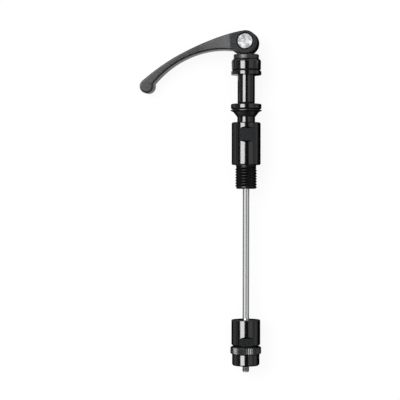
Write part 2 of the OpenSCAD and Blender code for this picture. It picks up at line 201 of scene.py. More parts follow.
EDGE_R = 0.9
LEVER_VOXEL = 0.25


# Small tools

def linear(hex_colour):
    """An sRGB hex colour as linear red, green, blue and alpha."""
    values = [int(hex_colour[i:i + 2], 16) / 255 for i in (1, 3, 5)]
    return [v / 12.92 if v <= 0.04045 else ((v + 0.055) / 1.055) ** 2.4 for v in values] + [1]


def add(tree, kind, settings=None, links=None):
    """Adds a node; settings go to its properties and inputs, links to its inputs."""
    node = tree.nodes.new(kind)
    for name, value in (settings or {}).items():
        if isinstance(name, str) and hasattr(node, name):
            setattr(node, name, value)
        else:
            node.inputs[name].default_value = value
    for name, source in (links or {}).items():
        tree.links.new(source, node.inputs[name])
    return node


def new_object(name, data):
    """An object in the scene that shows the data."""
    thing = bpy.data.objects.new(name, data)
    bpy.context.scene.collection.objects.link(thing)
    return thing


def new_piece(name, mesh_data, body, slot, *materials):
    """Puts a mesh in the scene as a piece that rides on a body."""
    piece = new_object(name, mesh_data)
    for material in materials:
        piece.data.materials.append(material)
    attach(piece, body)
    return piece


def smooth_to(mesh_data, angle_deg):
    """Smooth shading, with edges sharper than the angle kept crisp."""
    bm = bmesh.new()
    bm.from_mesh(mesh_data)
    for face in bm.faces:
        face.smooth = True
    for edge in bm.edges:
        edge.smooth = edge.calc_face_angle(0) < math.radians(angle_deg)
    bm.to_mesh(mesh_data)
    bm.free()


def applied(mesh_data, *modifiers):
    """A copy of the mesh with modifiers applied; each is a kind and its settings."""
    holder = new_object("holder", mesh_data)
    for kind, settings in modifiers:
        modifier = holder.modifiers.new(kind.lower(), kind)
        for name, value in settings.items():
            setattr(modifier, name, value)
    graph = bpy.context.evaluated_depsgraph_get()
    result = bpy.data.meshes.new_from_object(holder.evaluated_get(graph))
    bpy.data.objects.remove(holder)
    return result


def cut(mesh_data, cutter, **settings):
    """The mesh less the cutter, which is then removed."""
    result = applied(mesh_data, ("BOOLEAN", {
        "object": cutter, "operation": "DIFFERENCE", "solver": "EXACT", **settings}))
    bpy.data.objects.remove(cutter)
    return result


def close_rings(bm, rings):
    """Faces between neighbouring rings of points and over both ends."""
    for here, there in zip(rings, rings[1:]):
        for i in range(len(here)):
            j = (i + 1) % len(here)
            bm.faces.new((here[i], here[j], there[j], there[i]))
    bm.faces.new(rings[0])
    bm.faces.new(rings[-1])


def finished_mesh(name, bm):
    """The faces as a mesh, with their normals outward."""
    bmesh.ops.recalc_face_normals(bm, faces=bm.faces)
    data = bpy.data.meshes.new(name)
    bm.to_mesh(data)
    bm.free()
    return data


def around(y, r, angle):
    """The point at a height and a radius, at an angle round the rod, in metres."""
    return r * math.sin(angle) * MM, y * MM, r * math.cos(angle) * MM


def softened(corners, steps=6):
    """An outline of (y, r, fillet) corners, with each fillet turned into an arc."""
    points = []
    for i, (y, r, fillet) in enumerate(corners):
        here = Vector((y, r))
        if not fillet:
            points.append(here)
            continue
        before = (Vector(corners[i - 1][:2]) - here).normalized()
        after = (Vector(corners[(i + 1) % len(corners)][:2]) - here).normalized()
        half = before.angle(after) / 2
        run = fillet / math.tan(half)
        middle = here + (before + after).normalized() * fillet / math.sin(half)
        start = here + before * run - middle
        turn = (here + after * run - middle).angle_signed(start)
        for k in range(steps + 1):
            a = turn * k / steps
            points.append(middle + Vector((
                start.x * math.cos(a) - start.y * math.sin(a),
                start.x * math.sin(a) + start.y * math.cos(a))))
    return points


def turned_mesh(name, corners, segments=192):
    """A lathe-turned ring about the rod's axis, from its closed half section of (y, r, fillet)
    corners."""
    outline = softened(corners)
    bm = bmesh.new()
    rings = []
    for k in range(segments):
        a = 2 * math.pi * k / segments
        rings.append([bm.verts.new(around(p.x, p.y, a)) for p in outline])
    count = len(outline)
    for k in range(segments):
        here, there = rings[k], rings[(k + 1) % segments]
        for i in range(count):
            j = (i + 1) % count
            bm.faces.new((here[i], here[j], there[j], there[i]))
    # points on the axis fall together
    bmesh.ops.remove_doubles(bm, verts=bm.verts, dist=1e-7)
    return finished_mesh(name, bm)


def thread_mesh(name, root_r, depth, pitch, low, high, crest_at, steps=64):
    """A right-hand thread's ridge on a core of root_r, which runs out over a sixth of a turn at
    each end; crest_at(y) limits its crest."""
    turns = (high - low) / pitch - 1
    count = int(turns * steps)
    run_out = steps / 6
    bm = bmesh.new()
    rings = []
    for k in range(count + 1):
        a = 2 * math.pi * k / steps
        fade = min(1, k / run_out, (count - k) / run_out)
        ring = []
        for along, rise in RIDGE:
            # both ends keep a twentieth of the width, so that no face is empty
            y = low + pitch * (0.5 + k / steps + along * max(fade, 0.05))
            r = root_r + depth * rise * (fade if rise > 0 else 1)
            # a chamfer cuts the ridge at most 0.1 mm below the core's surface
            r = min(r, max(crest_at(y), root_r - 0.1))
            ring.append(bm.verts.new(around(y, r, a)))
        rings.append(ring)
    close_rings(bm, rings)
    data = finished_mesh(name, bm)
    smooth_to(data, CREASE_THREAD)
    return data


def flats_cutter(across, radius, low, high, turn_deg, slope):
    """Two prisms that mill wrench flats; each end runs out over slope times the depth."""
    depth = radius - across / 2
    ramp = slope * depth
    section = ((0, low), (0, high), (2 * depth, high + 2 * ramp), (2 * depth, low - 2 * ramp))
    bm = bmesh.new()
    for side in (0, math.pi):
        a = math.radians(turn_deg) + side
        out = Vector((math.sin(a), 0, math.cos(a)))
        across_dir = Vector((math.cos(a), 0, -math.sin(a)))
        ends = []
        for reach in (-radius, radius):
            ends.append([bm.verts.new((out * (across / 2 + t) + across_dir * reach
                                       + Vector((0, y, 0))) * MM) for t, y in section])
        close_rings(bm, ends)
    return new_object("flats_cutter", finished_mesh("flats_cutter", bm))


def mark_flats(mesh_data, across, turn_deg):
    """Gives the faces that lie in the flats the second material."""
    a = math.radians(turn_deg)
    out = Vector((math.sin(a), 0, math.cos(a)))
    for face in mesh_data.polygons:
        level = abs(face.center.dot(out)) / MM
        if abs(face.normal.dot(out)) > 0.999 and abs(level - across / 2) < 0.01:
            face.material_index = 1


def mark_band(mesh_data, heights, max_r, index):
    """Gives the faces between two heights, and nearer the axis than max_r, another material."""
    for face in mesh_data.polygons:
        y, r = face.center.y / MM, math.hypot(face.center.x, face.center.z) / MM
        if heights[0] < y < heights[1] and r < max_r:
            face.material_index = index


# Materials

# A pattern's scale is the number of its marks to a millimetre, divided by MM


def material_tree(name):
    """A material and its empty node tree."""
    material = bpy.data.materials.new(name)
    material.use_nodes = True
    tree = material.node_tree
    tree.nodes.clear()
    return material, tree


def finish_material(tree, shader):
    """Makes a shader the tree's surface."""
    add(tree, "ShaderNodeOutputMaterial", links={"Surface": shader.outputs[0]})


def anodised_aluminium(name, roughness, gloss=0.5):
    """Aluminium bar, turned and black anodised, with turning marks round the rod that stretch its highlights a
    little. A low roughness is the polished bar, a high one is metal left as the thread or knurl tool cut it, and a
    low gloss is a cut that the dye has left matt. The lowest gloss, given to the faces of narrow gaps and grooves,
    is painted shade that keeps them black."""
    material, tree = material_tree(name)
    place = add(tree, "ShaderNodeTexCoord")
    # turning marks, drawn 0.25 mm apart along the rod, which is coarser than a lathe leaves
    # them, so that they show; round the rod they hold for 25 mm
    marks_place = add(tree, "ShaderNodeMapping", {"Scale": (0.04 / MM, 4 / MM, 0.04 / MM)},
                      {"Vector": place.outputs["Object"]})
    marks = add(tree, "ShaderNodeTexNoise", {"Scale": 1.0, "Detail": 2.0},
                {"Vector": marks_place.outputs[0]})
    bump = add(tree, "ShaderNodeBump", {"Strength": 0.1, "Distance": 0.004 * MM},
               {"Height": marks.outputs["Fac"]})
    # the dye's depth varies softly, about every 6 mm
    dye = add(tree, "ShaderNodeTexNoise", {"Scale": 0.16 / MM, "Detail": 3.0},
              {"Vector": place.outputs["Object"]})
    colour = add(tree, "ShaderNodeValToRGB", links={"Fac": dye.outputs["Fac"]})
    colour.color_ramp.elements[0].color = linear("#040405")
    colour.color_ramp.elements[1].color = linear("#0A0B0C")
    shader = add(tree, "ShaderNodeBsdfPrincipled",
                 {"Roughness": roughness, "IOR": 1.52, "Metallic": 0.0,
                  "Specular IOR Level": gloss},
                 {"Base Color": colour.outputs["Color"], "Normal": bump.outputs["Normal"]})
    finish_material(tree, shader)
    return material


def milled_aluminium():
    """Wrench flats, milled and black anodised: fine cutter lines that make them duller than the
    turned bar."""
    material, tree = material_tree("milled_black_aluminium")
    place = add(tree, "ShaderNodeTexCoord")
    # cutter lines three to a millimetre along the rod, each about a millimetre long
    lines_place = add(tree, "ShaderNodeMapping", {"Scale": (0.9 / MM, 3 / MM, 0.9 / MM)},
                      {"Vector": place.outputs["Object"]})
    lines = add(tree, "ShaderNodeTexNoise", {"Scale": 1.0, "Detail": 3.0},
                {"Vector": lines_place.outputs[0]})
    bump = add(tree, "ShaderNodeBump", {"Strength": 0.3, "Distance": 0.01 * MM},
               {"Height": lines.outputs["Fac"]})
    colour = add(tree, "ShaderNodeValToRGB", links={"Fac": lines.outputs["Fac"]})
    colour.color_ramp.elements[0].color = linear("#101113")
    colour.color_ramp.elements[1].color = linear("#1B1D1F")
    shader = add(tree, "ShaderNodeBsdfPrincipled",
                 {"Roughness": 0.22, "IOR": 1.55, "Metallic": 0.0},
                 {"Base Color": colour.outputs["Color"], "Normal": bump.outputs["Normal"]})
    finish_material(tree, shader)
    return material


def forged_lever_finish():
    """Forged aluminium, bead-blasted and black anodised: a satin surface whose grain breaks up
    its highlights."""
    material, tree = material_tree("blasted_black_lever")
    place = add(tree, "ShaderNodeTexCoord")
    # the blasted grain, drawn two thirds of a millimetre wide, coarser than beads leave it, so
    # that it shows
    grain = add(tree, "ShaderNodeTexNoise", {"Scale": 1.5 / MM, "Detail": 3.0, "Roughness": 0.6},
                {"Vector": place.outputs["Object"]})
    # the dye's depth varies about every 5.5 mm
    cloud = add(tree, "ShaderNodeTexNoise", {"Scale": 0.18 / MM, "Detail": 2.0},
                {"Vector": place.outputs["Object"]})
    bump = add(tree, "ShaderNodeBump", {"Strength": 0.3, "Distance": 0.06 * MM},
               {"Height": grain.outputs["Fac"]})
    mixed = add(tree, "ShaderNodeMix", {"data_type": "FLOAT", 0: 0.35},
                {2: grain.outputs["Fac"], 3: cloud.outputs["Fac"]})
    colour = add(tree, "ShaderNodeValToRGB", links={"Fac": mixed.outputs[0]})
    colour.color_ramp.elements[0].position = 0.3
    colour.color_ramp.elements[0].color = linear("#0E0F10")
    colour.color_ramp.elements[1].position = 0.7
    colour.color_ramp.elements[1].color = linear("#24272A")
    shader = add(tree, "ShaderNodeBsdfPrincipled",
                 {"Roughness": 0.28, "IOR": 1.5, "Metallic": 0.0},
                 {"Base Color": colour.outputs["Color"], "Normal": bump.outputs["Normal"]})
    finish_material(tree, shader)
    return material


def drawn_steel():
    """Bright drawn steel rod: fine lines along it, which spread its highlights round it."""
    material, tree = material_tree("bright_drawn_steel")
    place = add(tree, "ShaderNodeTexCoord")
    # drawing lines three to a millimetre round the rod, each 50 mm long
    lines_place = add(tree, "ShaderNodeMapping", {"Scale": (3 / MM, 0.02 / MM, 3 / MM)},
                      {"Vector": place.outputs["Object"]})
    lines = add(tree, "ShaderNodeTexNoise", {"Scale": 1.0, "Detail": 2.0},
                {"Vector": lines_place.outputs[0]})
    bump = add(tree, "ShaderNodeBump", {"Strength": 0.2, "Distance": 0.006 * MM},
               {"Height": lines.outputs["Fac"]})
    colour = add(tree, "ShaderNodeValToRGB", links={"Fac": lines.outputs["Fac"]})
    colour.color_ramp.elements[0].color = linear("#BFC2C4")
    colour.color_ramp.elements[1].color = linear("#D8DADB")
    shader = add(tree, "ShaderNodeBsdfPrincipled", {"Roughness": 0.16, "Metallic": 1.0},
                 {"Base Color": colour.outputs["Color"], "Normal": bump.outputs["Normal"]})
    finish_material(tree, shader)
    return material


def plain_steel(name, low, high, roughness):
    """Steel with a grey skin, duller than the drawn rod, with blotches of about a millimetre. The rolled thread's
    skin is the one that rolling leaves; on the nut's washer a dark grey paints the shade in the gap above the nut."""
    material, tree = material_tree(name)
    place = add(tree, "ShaderNodeTexCoord")
    skin = add(tree, "ShaderNodeTexNoise", {"Scale": 1 / MM, "Detail": 3.0},
               {"Vector": place.outputs["Object"]})
    colour = add(tree, "ShaderNodeValToRGB", links={"Fac": skin.outputs["Fac"]})
    colour.color_ramp.elements[0].color = linear(low)
    colour.color_ramp.elements[1].color = linear(high)
    shader = add(tree, "ShaderNodeBsdfPrincipled", {"Roughness": roughness, "Metallic": 1.0},
                 {"Base Color": colour.outputs["Color"]})
    finish_material(tree, shader)
    return material


def turned_steel(centre_m, axis):
    """Cross pin, faced on a lathe: rings about its own axis, and stains from handling that
    mottle the silver."""
    material, tree = material_tree("faced_steel_pin")
    place = add(tree, "ShaderNodeTexCoord")
    offset = add(tree, "ShaderNodeVectorMath", {"operation": "SUBTRACT", 1: centre_m},
                 {0: place.outputs["Object"]})
    across = add(tree, "ShaderNodeVectorMath", {"operation": "CROSS_PRODUCT", 1: axis},
                 {0: offset.outputs[0]})
    radius = add(tree, "ShaderNodeVectorMath", {"operation": "LENGTH"},
                 {0: across.outputs[0]})
    # facing rings, drawn 0.45 mm apart, coarser than a lathe leaves them, so that they show
    rings = add(tree, "ShaderNodeMath", {"operation": "MULTIPLY", 1: 2 * math.pi / (0.45 * MM)},
                {0: radius.outputs["Value"]})
    wave = add(tree, "ShaderNodeMath", {"operation": "SINE"}, {0: rings.outputs[0]})
    bump = add(tree, "ShaderNodeBump", {"Strength": 0.35, "Distance": 0.02 * MM},
               {"Height": wave.outputs[0]})
    # stains about 3 mm across
    stains = add(tree, "ShaderNodeTexNoise",
                 {"Scale": 0.33 / MM, "Detail": 4.0, "Roughness": 0.65},
                 {"Vector": place.outputs["Object"]})
    colour = add(tree, "ShaderNodeValToRGB", links={"Fac": stains.outputs["Fac"]})
    colour.color_ramp.elements[0].position = 0.32
    colour.color_ramp.elements[0].color = linear("#787B7D")
    colour.color_ramp.elements[1].position = 0.66
    colour.color_ramp.elements[1].color = linear("#EEF0F1")
    shader = add(tree, "ShaderNodeBsdfPrincipled", {"Roughness": 0.3, "Metallic": 1.0},
                 {"Base Color": colour.outputs["Color"], "Normal": bump.outputs["Normal"]})
    finish_material(tree, shader)
    return material


def moulded_black(name, low, high, roughness, grains):
    """Moulded black plastic or rubber: a faint even grain from the mould, as many grains to a
    millimetre as it needs to show."""
    material, tree = material_tree(name)
    place = add(tree, "ShaderNodeTexCoord")
    grain = add(tree, "ShaderNodeTexNoise", {"Scale": grains / MM, "Detail": 2.0},
                {"Vector": place.outputs["Object"]})
    bump = add(tree, "ShaderNodeBump", {"Strength": 0.2, "Distance": 0.02 * MM},
               {"Height": grain.outputs["Fac"]})
    colour = add(tree, "ShaderNodeValToRGB", links={"Fac": grain.outputs["Fac"]})
    colour.color_ramp.elements[0].color = linear(low)
    colour.color_ramp.elements[1].color = linear(high)
    shader = add(tree, "ShaderNodeBsdfPrincipled", {"Roughness": roughness, "IOR": 1.5},
                 {"Base Color": colour.outputs["Color"], "Normal": bump.outputs["Normal"]})
    finish_material(tree, shader)
    return material


# Lever

pin_low, pin_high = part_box("cross_pin")
pin_centre = (pin_low + pin_high) / 2
swing = next(j for j in frame["joints"] if j["name"] == "lever_swing")
pin_axis = -Vector(swing["axis"]).normalized()
lever_across = Vector((0, 1, 0)).cross(pin_axis)


def lever_point(u, v, w):
    """A point of the lever's plane, in millimetres from the cross pin, in the scene."""
    return pin_centre + (lever_across * u + Vector((0, 1, 0)) * v + pin_axis * w) * MM


def arm_curve(t):
    """Middle of the arm at t, and the direction down across it. The arm's upper edge runs into
    the round of the tip."""
    angle = math.radians(ARM_HOOK_ANGLE)
    along = Vector((math.cos(angle), math.sin(angle)))
    lead = ARM_START - Vector((ARM_LEAD, 0))
    end = TIP + TIP_RISE * Vector((-along.y, along.x))
    hook = end + ARM_HOOK * along
    s = 1 - t
    point = s ** 3 * ARM_START + 3 * t * s * s * lead + 3 * t * t * s * hook + t ** 3 * end
    slope = s * s * (lead - ARM_START) + 2 * t * s * (hook - lead) + t * t * (end - hook)
    return point, Vector((-slope.y, slope.x)).normalized()


def arm_half_h(t):
    """Half the arm's height at t: deep at the root, and a little deeper again at the tip."""
    root = max(0, 1 - t / ARM_ROOT_UNTIL) ** 2.1
    return ARM_HALF_H + (ARM_ROOT_HALF_H - ARM_HALF_H) * root + TIP_FLARE * t ** 6


def arm_draft(t):
    """How much further the arm's lower side lies from its middle than the upper side: a little
    at the root, and more where it widens into the tip."""
    towards_tip = min(1, max(0, (t - TIP_DRAFT_FROM) / TIP_DRAFT_RUN))
    return ARM_DRAFT * (1 - t) + TIP_DRAFT * towards_tip ** 2


def arm_half_t(t):
    """Half the arm's thickness at t: as thick as the head at the root, then drawn in."""
    drawn_in = min(1, max(0, (ARM_THIN_FROM - t) / (ARM_THIN_FROM - HEAD_THICK_UNTIL))) ** 1.6
    return ARM_HALF_T + (TIP_HALF_T - ARM_HALF_T) * t ** 3 + (HEAD_HALF_T - ARM_HALF_T) * drawn_in


def lever_circle(bm, u, v, r, w, segments=96):
    """Points of a circle in the lever's plane, at a depth of w."""
    angles = [2 * math.pi * k / segments for k in range(segments)]
    return [bm.verts.new(lever_point(u + r * math.cos(a), v + r * math.sin(a), w)) for a in angles]


def rounded_disc(bm, u, v, radius, half_t, steps=6):
    """Rings of points of a disc that lies in the lever's plane, with rounded edges."""
    profile = []
    for k in range(steps + 1):
        a = math.pi / 2 * k / steps
        profile.append((radius - EDGE_R + EDGE_R * math.sin(a),
                        half_t - EDGE_R + EDGE_R * math.cos(a)))
    profile += [(r, -w) for r, w in reversed(profile)]
    return [lever_circle(bm, u, v, r, w) for r, w in profile]


def add_head(bm):
    """The cam and its heel, under one skin."""
    angle = math.radians(HEEL_ANGLE)
    head = rounded_disc(bm, 0, -CAM_OFFSET, CAM_R, HEAD_HALF_T)
    heel = rounded_disc(bm, -HEEL_OUT * math.sin(angle), -CAM_OFFSET - HEEL_OUT * math.cos(angle),
                        HEEL_R, HEAD_HALF_T)
    hull = bmesh.ops.convex_hull(bm, input=[v for ring in head + heel for v in ring])
    inside = [g for g in hull["geom_interior"] if isinstance(g, bmesh.types.BMVert)]
    bmesh.ops.delete(bm, geom=inside, context="VERTS")


def add_arm(bm, stations=110, steps=6):
    """The strap arm, with rounded edges. Its lower side has the draft with which it leaves the
    die."""
    rings = []
    for i in range(stations + 1):
        t = i / stations
        point, normal = arm_curve(t)
        half_t, half_h = arm_half_t(t), arm_half_h(t)
        ring = []
        for quarter in range(4):
            for k in range(steps + 1):
                a = math.pi / 2 * (quarter + k / steps)
                side = 1 if quarter in (0, 3) else -1
                rise = 1 if quarter < 2 else -1
                w = side * (half_t - EDGE_R) + EDGE_R * math.cos(a)
                h = rise * (half_h - EDGE_R) + EDGE_R * math.sin(a)
                if rise > 0:
                    h += arm_draft(t)
                ring.append(bm.verts.new(lever_point(point.x + normal.x * h,
                                                     point.y + normal.y * h, w)))
        rings.append(ring)
    close_rings(bm, rings)


def lever_cutter():
    """The bore for the bushes, and the slot between the cheeks, which ends before the arm."""
    bm = bmesh.new()
    reach = 3 * CAM_R
    close_rings(bm, [lever_circle(bm, 0, 0, PIN_BORE_R, w, 128) for w in (-reach, reach)])
    corners = ((SLOT_FROM, -reach), (reach, -reach), (reach, reach), (SLOT_FROM, reach))
    close_rings(bm, [[bm.verts.new(lever_point(u, v, w)) for u, v in corners]
                     for w in (-SLOT_HALF_W, SLOT_HALF_W)])
    return new_object("lever_cutter", finished_mesh("lever_cutter", bm))


def lever_mesh():
    """Head, arm and tip as closed shells, fused and softened into one forging, then bored and
    slotted."""
    bm = bmesh.new()
    add_head(bm)
    add_arm(bm)
    close_rings(bm, rounded_disc(bm, TIP.x, TIP.y, TIP_R, TIP_HALF_T))
    data = applied(finished_mesh("lever_forging", bm),
                   ("REMESH", {"mode": "VOXEL", "voxel_size": LEVER_VOXEL * MM}),
                   ("SMOOTH", {"factor": 0.5, "iterations": 6}))
    result = cut(data, lever_cutter(), use_self=True)
    smooth_to(result, CREASE_LEVER)
    return result


# Pieces

black = anodised_aluminium("polished_black_aluminium", 0.14)
tooled = anodised_aluminium("tooled_black_aluminium", 0.33)
threaded = anodised_aluminium("thread_cut_black_aluminium", 0.36, 0.14)
# Nearly glossless matt black for the faces in the seam, in the sleeve's groove and under the disk's step: painted
# shade for the gaps between parts
groove_shade_matt = anodised_aluminium("matt_black_groove_shade", 0.6, 0.06)
milled = milled_aluminium()
satin = forged_lever_finish()
bright = drawn_steel()
faced = turned_steel(tuple(pin_centre), tuple(pin_axis))
acetal = moulded_black("black_acetal", "#0B0C0D", "#17181A", 0.42, 0.9)
rolled = plain_steel("rolled_thread_steel", "#6E7174", "#9A9DA0", 0.3)
# The washer's dark grey is painted shade for the gap above the nut
gap_shade_steel = plain_steel("dark_washer_gap_shade_steel", "#1A1B1C", "#2E3032", 0.4)
nylon = moulded_black("black_nylon", "#08090A", "#131415", 0.5, 1.2)
nitrile = moulded_black("black_nitrile_rubber", "#0C0C0D", "#181819", 0.6, 1.5)

FINISHES = {
    "anodised_black": black,
    "lever_black": satin,
    "saddle_black": acetal,
    "steel": bright,
    "rubber": nitrile,
    "bush_black": nylon,
}
OWN_FINISHES = {
    "cross_pin": faced,
    "nut_washer": gap_shade_steel,
    "cone_ring": tooled,
    "knurled_ring": tooled,
}
for part in frame["record"]["subparts"]:
    for place in nodes[part["node"]].material_slots:
        place.material = OWN_FINISHES.get(part["node"], FINISHES[part["material_slot"]])

# Cap, with its round shoulder, and the washer, whose narrow top makes the seam below it, which is kept dark with
# painted shade
cap_data = turned_mesh("cap_turned", [
    (CAP_LOW, BORE_R, 0), (CAP_LOW, CAP_R, 0.1),
    (CAP_TOP, CAP_SHOULDER_R, CAP_SHOULDER_FILLET), (CAP_TOP, BOSS_R, 0.1),
    (CAP_TOP - BOSS_DEPTH, BOSS_R, 0), (CAP_TOP - BOSS_DEPTH, BORE_R, 0)])
smooth_to(cap_data, CREASE_TURNED)
cap_piece = new_piece("cap_turned", cap_data, "cap", "anodised_black", black)
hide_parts("cam_cap")

washer_data = turned_mesh("washer_turned", [
    (WASHER_TOP, BORE_R, 0), (WASHER_TOP, SEAM_R, 0), (WASHER_TOP - SEAM_LEN, SEAM_R, 0),
    (WASHER_TOP - SEAM_LEN, WASHER_R, 0.2), (WASHER_LOW, WASHER_R, 0.2),
    (WASHER_LOW, SLEEVE_R + SEAT_PLAY, 0),
    (WASHER_LOW + SEAT_CONE_LEN, SLEEVE_SEAT_R + SEAT_PLAY, 0),
    (WASHER_LOW + SLEEVE_SEAT_DEPTH, SLEEVE_SEAT_R + SEAT_PLAY, 0),
    (WASHER_LOW + SLEEVE_SEAT_DEPTH, BORE_R, 0)])
smooth_to(washer_data, CREASE_TURNED)
washer_piece = new_piece("washer_turned", washer_data, "washer", "anodised_black",
                         black, groove_shade_matt)
# the seam's faces take the matt black that paints its shade
mark_band(washer_data, (WASHER_TOP - SEAM_LEN - MARGIN, WASHER_TOP + MARGIN),
          WASHER_R - LEDGE_MARGIN, 1)
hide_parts("cap_washer")

# Sleeve, with the fine groove that leaves its end clear of the flange disk
sleeve_data = turned_mesh("sleeve_turned", [
    (SLEEVE_LOW, BORE_R, 0), (SLEEVE_LOW, GROOVE_R, 0),
    (SLEEVE_LOW + GROOVE_LEN, GROOVE_R, 0), (SLEEVE_LOW + GROOVE_LEN, SLEEVE_R, 0.1),
    (WASHER_LOW - SEAT_CONE_GAP, SLEEVE_R, 0),
    (WASHER_LOW + SEAT_CONE_LEN - SEAT_CONE_GAP, SLEEVE_SEAT_R, 0),
    (SLEEVE_TOP, SLEEVE_SEAT_R, 0), (SLEEVE_TOP, BORE_R, 0)])
smooth_to(sleeve_data, CREASE_TURNED)
sleeve_piece = new_piece("sleeve_turned", sleeve_data, "washer", "anodised_black",
                         black, groove_shade_matt)
# the groove's faces take the matt black that paints the shade in the gap above the disk
mark_band(sleeve_data, (SLEEVE_LOW, SLEEVE_LOW + GROOVE_LEN + MARGIN), SLEEVE_R - MARGIN, 1)
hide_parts("spacer_sleeve")

# Flange disk, on its step above the cone
disk_data = turned_mesh("disk_turned", [
    (DISK_LOW, SEAT_R + DISK_PLAY, 0), (DISK_LOW, DISK_R - STEP_DEPTH, 0),
    (DISK_LOW + STEP_LEN, DISK_R - STEP_DEPTH, 0), (DISK_LOW + STEP_LEN, DISK_R, DISK_RIM_FILLET),
    (DISK_TOP, DISK_R, DISK_RIM_FILLET), (DISK_TOP, SEAT_R + DISK_BORE_CHAMFER, 0),
    (DISK_TOP - DISK_BORE_CHAMFER, SEAT_R + DISK_PLAY, 0)])
smooth_to(disk_data, CREASE_TURNED)
disk_piece = new_piece("disk_turned", disk_data, "adapter", "anodised_black", black, groove_shade_matt)
# the step's faces take the matt black that paints the shade under the disk's rim
mark_band(disk_data, (DISK_LOW, DISK_LOW + STEP_LEN + MARGIN), DISK_R - LEDGE_MARGIN, 1)
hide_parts("flange_disk")

# Adapter body, with the thread's ridge on a core of the thread's root
spigot_root_r = SPIGOT_R - SPIGOT_DEPTH
body_data = turned_mesh("adapter_turned", [
    (SPIGOT_END, BORE_R, 0.2), (SPIGOT_END, spigot_root_r - SPIGOT_CHAMFER, 0.1),
    (SPIGOT_END + SPIGOT_CHAMFER, spigot_root_r, 0.1),
    (RELIEF_FROM - RELIEF_RAMP, spigot_root_r, 0),
    (RELIEF_FROM, RELIEF_R, 0), (BODY_LOW, RELIEF_R, 0.15),
    (BODY_LOW, BODY_R - BODY_CHAMFER, 0.12), (BODY_LOW + BODY_CHAMFER, BODY_R, 0.2),
    (BODY_TOP - BODY_CHAMFER, BODY_R, 0.2), (BODY_TOP, BODY_R - BODY_CHAMFER, 0.12),
    (BODY_TOP, NECK_R, 0.15), (NECK_TOP, NECK_R, 0.1), (NECK_TOP, SEAT_R, 0),
    (SEAT_TOP, SEAT_R, 0), (SEAT_TOP, BORE_R, 0)])
body_data = cut(body_data, flats_cutter(BODY_ACROSS_FLATS, BODY_R, *BODY_FLAT, BODY_FLAT_TURN,
                                        BODY_FLAT_SLOPE))
smooth_to(body_data, CREASE_TURNED)
mark_flats(body_data, BODY_ACROSS_FLATS, BODY_FLAT_TURN)
adapter_piece = new_piece("adapter_turned", body_data, "adapter", "anodised_black", black, milled,
                          threaded)
mark_band(body_data, (SPIGOT_END, BODY_LOW - SHOULDER_MARGIN), BODY_R, 2)
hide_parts("adapter_body")


def spigot_crest(y):
    """The thread's crest, which the end chamfer cuts down at 45 degrees."""
    return SPIGOT_R - max(0, SPIGOT_FULL_END - y)


new_piece("spigot_thread",
          thread_mesh("spigot_thread", spigot_root_r, SPIGOT_DEPTH, SPIGOT_PITCH,
                      SPIGOT_END - 0.3, RELIEF_FROM + RELIEF_RAMP, spigot_crest, steps=128),
          "adapter", "anodised_black", threaded)

# Clamping body, whose flats run out at its lower end
clamp_data = turned_mesh("clamp_turned", [
    (CLAMP_LOW, BORE_R, 0.2), (CLAMP_LOW, CLAMP_R - CLAMP_CHAMFER, 0.15),
    (CLAMP_LOW + CLAMP_CHAMFER, CLAMP_R, 0.2), (CLAMP_TOP - CLAMP_TOP_CHAMFER, CLAMP_R, 0.12),
    (CLAMP_TOP, CLAMP_R - CLAMP_TOP_CHAMFER, 0.12), (CLAMP_TOP, BORE_R + CLAMP_BORE_CHAMFER, 0.1),
    (CLAMP_TOP - CLAMP_BORE_CHAMFER, BORE_R, 0)])
clamp_data = cut(clamp_data, flats_cutter(CLAMP_ACROSS_FLATS, CLAMP_R, *CLAMP_FLAT, CLAMP_FLAT_TURN,
                                          CLAMP_FLAT_SLOPE))
smooth_to(clamp_data, CREASE_TURNED)
mark_flats(clamp_data, CLAMP_ACROSS_FLATS, CLAMP_FLAT_TURN)
clamp_piece = new_piece("clamp_turned", clamp_data, "clamp_body", "anodised_black", black, milled)
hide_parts("lower_body")

# Rod and its rolled thread. The upper thread, hidden in the cross pin, is a plain cylinder.
rod_root_r = ROD_CREST_R - ROD_DEPTH
rod_data = turned_mesh("rod_shank", [
    (ROD_LOW, 0, 0), (ROD_LOW, rod_root_r - ROD_CHAMFER, 0.1),
    (ROD_LOW + ROD_CHAMFER, rod_root_r, 0),
    (ROD_THREAD_END, rod_root_r, 0), (ROD_THREAD_END + ROD_RUN_OUT, SHANK_R, 0),
    (ROD_TOP_THREAD_FROM, SHANK_R, 0), (ROD_TOP_THREAD_FROM + ROD_TOP_STEP, ROD_CREST_R, 0),
    (ROD_TOP, ROD_CREST_R, 0), (ROD_TOP, 0, 0)], segments=96)
smooth_to(rod_data, CREASE_TURNED)
rod_piece = new_piece("rod_shank", rod_data, "rod", "steel", bright)
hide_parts("skewer_rod")


def rod_crest(y):
    """The rolled thread's crest, with a chamfered tail."""
    return ROD_CREST_R - ROD_TAIL_DEPTH * max(0, 1 - (y - ROD_LOW) / ROD_TAIL_LEN)


new_piece("rod_thread",
          thread_mesh("rod_thread", rod_root_r, ROD_DEPTH, ROD_PITCH,
                      ROD_LOW, ROD_THREAD_END + ROD_RUN_OUT, rod_crest, steps=48),
          "rod", "steel", rolled)

# Lever forging
lever_piece = new_piece("lever_forging", lever_mesh(), "lever", "lever_black", satin)
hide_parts("lever")


# Camera

